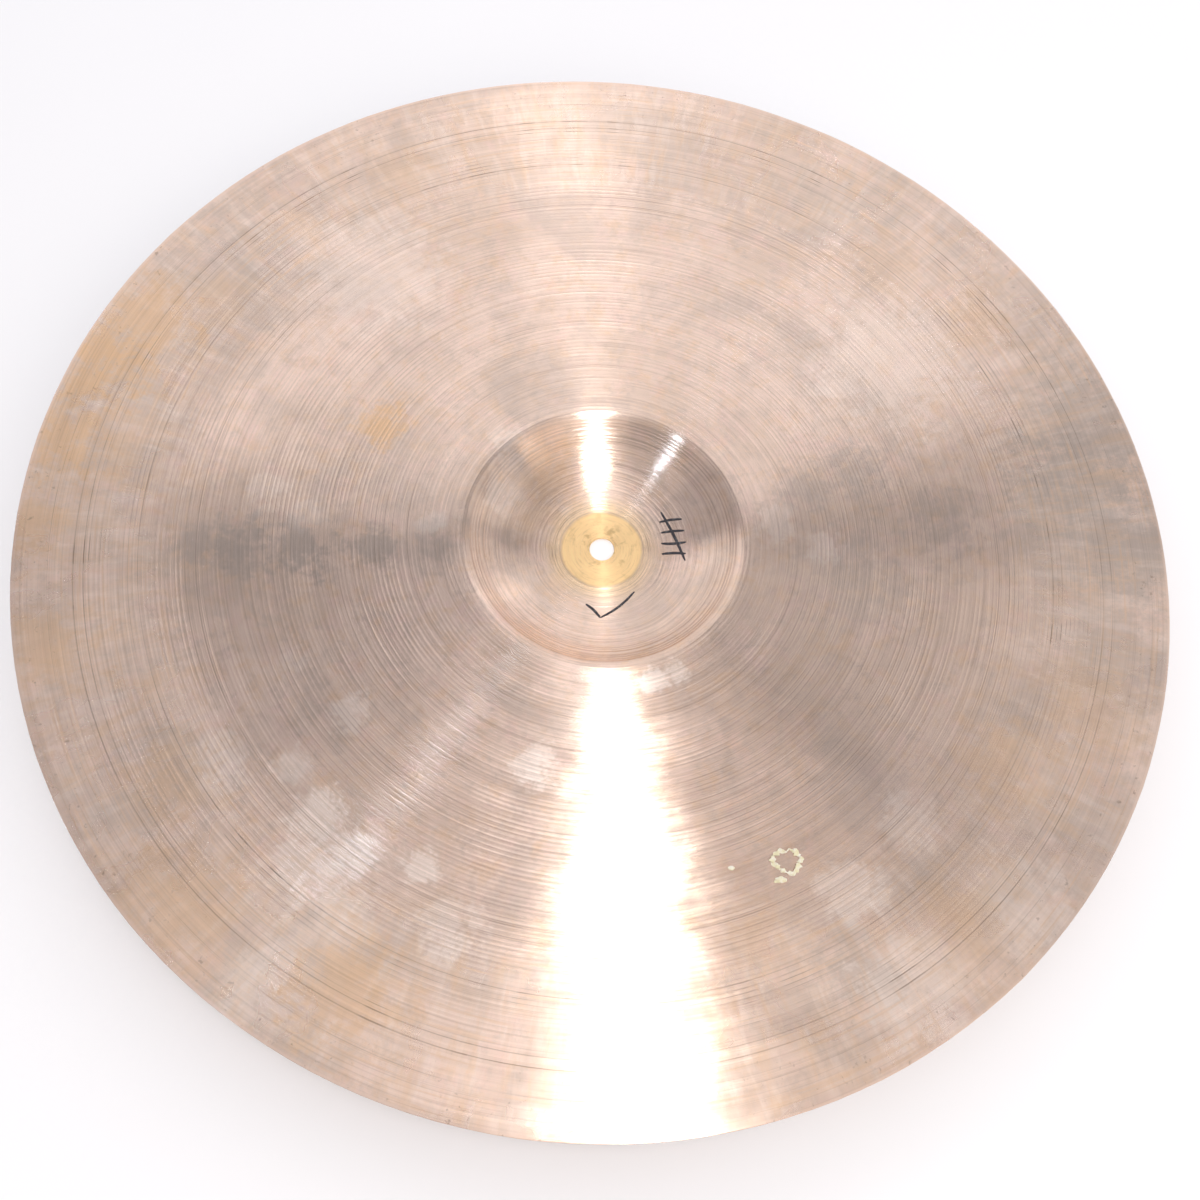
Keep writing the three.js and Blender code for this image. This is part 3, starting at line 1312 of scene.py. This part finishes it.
GLUE_RING = Residue(295, 0.655, 6.4 * MM, 5.0 * MM, 0.6 * MM)
GLUE_BLOBS = (
    Residue(292.7, 0.678, 2.6 * MM, 1.3 * MM, 0.8 * MM),
    Residue(296.6, 0.648, 1.6 * MM, 1.0 * MM, 0.6 * MM),
    Residue(287.0, 0.632, 1.3 * MM, 0.9 * MM, 0.5 * MM),
)
RING_CORD = 0.035  # the glue ring's own thickness, as a share of its half width


def settle_on_hollow(piece, dish, residue):
    """Gives a piece of unit size its own sizes and an uneven edge, and lays it on the bow."""
    middle = Vector(place_at(residue.bearing, residue.share * dish.rim))
    for vertex in piece.data.vertices:
        shape = vertex.co.copy()
        uneven = 1 + 0.55 * noise.noise(shape * 1.4 + Vector((residue.bearing, 0, 0)))
        uneven += 0.28 * noise.noise(shape * 4.7)
        x = middle.x + shape.x * residue.across * uneven
        y = middle.y + shape.y * residue.along * uneven
        vertex.co = lay_on_hollow(dish, x, y, max(shape.z, -0.2) * residue.height)


class CYMBAL_OT_leave_glue(bpy.types.Operator):
    """Leaves a torn ring and a few crumbs of dried glue on the bow."""

    bl_idname = "cymbal.leave_glue"
    bl_label = "Leave Glue"
    bl_options = {"REGISTER", "UNDO"}

    def execute(self, context):
        dish = current_dish(context)
        select_none()
        bpy.ops.mesh.primitive_torus_add(
            major_radius=1, minor_radius=RING_CORD, major_segments=72, minor_segments=10
        )
        ring = bpy.context.object
        for vertex in ring.data.vertices:
            vertex.co.z /= RING_CORD
        settle_on_hollow(ring, dish, GLUE_RING)
        pieces = [ring]
        for blob in GLUE_BLOBS:
            select_none()
            bpy.ops.mesh.primitive_ico_sphere_add(subdivisions=4, radius=1)
            settle_on_hollow(bpy.context.object, dish, blob)
            pieces.append(bpy.context.object)
        glue = glue_material(context.scene.cymbal_finish)
        ring = join_pieces("glue_residue", pieces, glue)
        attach(ring, ROW_BODY)
        return {"FINISHED"}


# ---- Studio ----

FLOOR_SIZE = 8
FLOOR_GAP = 0.1 * MM  # keeps the floor clear of the bell's flat top


WHITE = (1, 1, 1)
CREAM = (1, 0.98, 0.94)
PEACH = (1, 0.90, 0.79)
AMBER = (1, 0.80, 0.60)
DAYLIGHT = (0.62, 0.80, 1)
WORLD_COLOUR = (0.97, 0.97, 1.0, 1)
WORLD_STRENGTH = 0.50


@dataclass
class SoftLight:
    """A flat light: where it hangs, the place it faces, its width and length, how bright it looks
    and its colour, how far it is turned in its own plane and how wide its beam is, in degrees."""

    name: str
    place: tuple
    aim: tuple
    size: tuple
    radiance: float
    colour: tuple
    turn: float = 0
    oval: bool = False
    beam: float = 180


LIGHTS = (
    SoftLight("key_strip", (0.225, -0.75, 1.8), (0.225, -0.75, 0), (0.27, 1.45), 12, CREAM, turn=6),
    SoftLight("far_strip", (0.1, 0.42, 1.8), (0.1, 0.42, 0), (0.36, 0.95), 1.1, WHITE),
    SoftLight("far_panel", (-0.65, 1.77, 1.05), (-0.65, 0, 0.2), (4.5, 2.3), 0.7, WHITE),
    SoftLight("wide_glow", (-0.1, -0.75, 1.8), (-0.1, -0.75, 0), (3.4, 1.7), 0.3, PEACH, oval=True),
    SoftLight(
        "near_glow", (-0.28, -0.75, 1.8), (-0.28, -0.75, 0), (1.2, 1.6), 0.34, PEACH, oval=True
    ),
    SoftLight("near_panel", (0.7, -1.5, 1.2), (0, 0, 0), (2.6, 1.0), 0.8, AMBER),
    SoftLight("right_panel", (1.5, 0.1, 1.2), (0, 0, 0), (1.0, 1.0), 0.48, CREAM),
    SoftLight("corner_panel", (1.75, 1.0, 0.6), (0, 0, 0.02), (1.8, 0.75), 0.7, CREAM),
    SoftLight(
        "side_lamp",
        (-0.95, -0.68, 1.8),
        (0.06, 0.08, 0),
        (0.13, 0.7),
        34,
        DAYLIGHT,
        oval=True,
        beam=10.5,
    ),
)


def beam_gain(beam):
    """How much a narrow beam brightens a light of the same power, seen along its axis."""
    if beam >= 180:
        return 1
    half = math.radians(beam) / 2
    return math.tan(half) / (math.tan(half) - half)


def aimed(place, aim, turn):
    """The matrix of a light or camera that faces its aim, turned about its line of sight."""
    facing = (Vector(aim) - Vector(place)).to_track_quat("-Z", "Y").to_matrix().to_4x4()
    return Matrix.Translation(place) @ facing @ Matrix.Rotation(turn, 4, "Z")


def hang_light(soft):
    data = bpy.data.lights.new(soft.name, "AREA")
    data.shape = "ELLIPSE" if soft.oval else "RECTANGLE"
    data.size, data.size_y = soft.size
    data.spread = math.radians(soft.beam)
    area = data.size * data.size_y
    if soft.oval:
        area *= math.pi / 4
    data.energy = soft.radiance * math.pi * area / beam_gain(soft.beam)
    data.color = soft.colour
    light = bpy.data.objects.new(soft.name, data)
    light.matrix_world = aimed(soft.place, soft.aim, math.radians(soft.turn))
    light.visible_camera = False
    bpy.context.collection.objects.link(light)


def lay_floor(studio):
    select_none()
    bpy.ops.mesh.primitive_plane_add(size=FLOOR_SIZE, location=(0, 0, -FLOOR_GAP))
    floor = bpy.context.object
    floor.name = "floor"
    material, graph, shader, position = new_material("pale_floor")
    level = graph.noise(position, scale=3, detail=2)
    shaded = tuple(0.97 * value for value in studio.floor_colour)
    graph.feed(shader.inputs["Base Color"], graph.colour(level, studio.floor_colour, shaded))
    shader.inputs["Roughness"].default_value = 0.9
    floor.data.materials.append(material)


def fill_world():
    world = bpy.data.worlds.new("studio")
    world.use_nodes = True
    background = world.node_tree.nodes["Background"]
    background.inputs["Color"].default_value = WORLD_COLOUR
    background.inputs["Strength"].default_value = WORLD_STRENGTH
    bpy.context.scene.world = world


def place_camera(studio, rim_height):
    data = bpy.data.cameras.new("camera")
    data.lens = studio.lens
    data.sensor_width = 36
    camera = bpy.data.objects.new("camera", data)
    bpy.context.collection.objects.link(camera)
    rim_middle = Vector((0, 0, rim_height))
    place = rim_middle + Vector(studio.camera_place)
    aim = rim_middle + Vector(studio.camera_aim)
    camera.matrix_world = aimed(place, aim, studio.camera_roll)
    bpy.context.scene.camera = camera


class CYMBAL_OT_studio(bpy.types.Operator):
    """Lays the floor, hangs the lights and sets up the camera."""

    bl_idname = "cymbal.studio"
    bl_label = "Set Up the Studio"
    bl_options = {"REGISTER", "UNDO"}

    def execute(self, context):
        studio = context.scene.cymbal_studio
        lay_floor(studio)
        fill_world()
        for soft in LIGHTS:
            hang_light(soft)
        dish = current_dish(context)
        place_camera(studio, dish.hollow_face(dish.rim)[1])
        context.scene.view_settings.view_transform = "Standard"
        return {"FINISHED"}


class CYMBAL_PT_panel(bpy.types.Panel):
    """Lists the cymbal's sizes and the steps that make it."""

    bl_idname = "CYMBAL_PT_panel"
    bl_label = "Crash Cymbal"
    bl_space_type = "VIEW_3D"
    bl_region_type = "UI"
    bl_category = "Cymbal"

    def draw(self, context):
        for operator in OPERATORS:
            self.layout.operator(operator.bl_idname)
        for name, group in GROUPS.items():
            box = self.layout.box()
            settings = getattr(context.scene, name)
            for key in group.__annotations__:
                box.prop(settings, key)


GROUPS = {
    "cymbal_shape": CymbalShape,
    "cymbal_lathing": CymbalLathing,
    "cymbal_hammering": CymbalHammering,
    "cymbal_finish": CymbalFinish,
    "cymbal_studio": CymbalStudio,
}
OPERATORS = (
    CYMBAL_OT_studio,
    CYMBAL_OT_turn_sheet,
    CYMBAL_OT_mark_bell,
    CYMBAL_OT_leave_glue,
)


def register():
    for group in GROUPS.values():
        bpy.utils.register_class(group)
    for name, group in GROUPS.items():
        setattr(bpy.types.Scene, name, bpy.props.PointerProperty(type=group))
    for operator in OPERATORS:
        bpy.utils.register_class(operator)
    bpy.utils.register_class(CYMBAL_PT_panel)


def unregister():
    bpy.utils.unregister_class(CYMBAL_PT_panel)
    for operator in reversed(OPERATORS):
        bpy.utils.unregister_class(operator)
    for name in GROUPS:
        delattr(bpy.types.Scene, name)
    for group in reversed(GROUPS.values()):
        bpy.utils.unregister_class(group)


def main():
    register()
    bpy.ops.cymbal.studio()
    bpy.ops.cymbal.turn_sheet()
    bpy.ops.cymbal.mark_bell()
    bpy.ops.cymbal.leave_glue()


if __name__ == "__main__":
    main()
